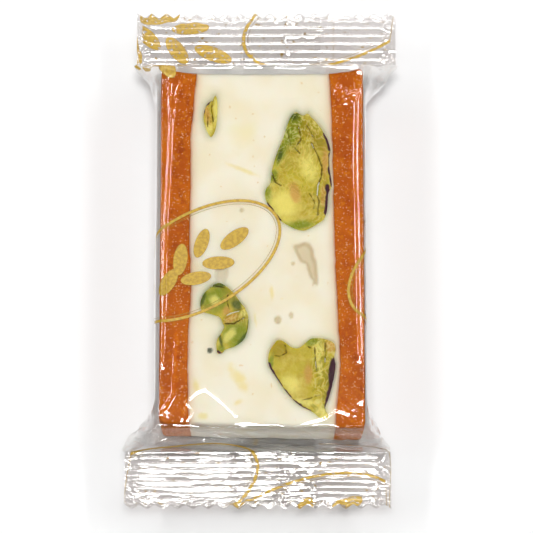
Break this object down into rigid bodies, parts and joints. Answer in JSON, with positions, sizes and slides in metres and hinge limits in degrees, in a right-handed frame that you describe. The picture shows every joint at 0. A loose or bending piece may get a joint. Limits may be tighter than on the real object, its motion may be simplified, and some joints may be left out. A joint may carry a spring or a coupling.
{
  "type": "nougat bar",
  "caption": "Single nougat bar with pistachios between two strips of fruit paste, sealed in a tight clear film flow pack with ridged, zigzag-cut ends.",
  "frame": {"origin": "on the surface that the bar lies on, under the middle of the pack's bounding box", "axes": "+Z out of the shown face, +Y along the bar towards its upper sealed end, +X to the right when looking at the shown face with +Y up"},
  "size_m": [0.0386, 0.0736, 0.014],
  "materials": {
    "clear_film": "clear, tight, glossy polypropylene film with small gold printed motifs",
    "nougat": "smooth, slightly waxy cream-white nougat with small air pockets",
    "fruit_paste": "dense, moist orange apricot paste with fine fibres",
    "pistachio": "yellow-green pistachio kernel with green sides and purple skin"
  },
  "bodies": {
    "root": {"wrapper": "clear_film", "nougat": "nougat", "fruit_paste_left": "fruit_paste", "fruit_paste_right": "fruit_paste", "pistachio_large": "pistachio", "pistachio_sliver": "pistachio", "pistachio_upper_half": "pistachio", "pistachio_lower_half": "pistachio", "pistachio_heart": "pistachio", "pistachio_end": "pistachio"}
  },
  "joints": []
}
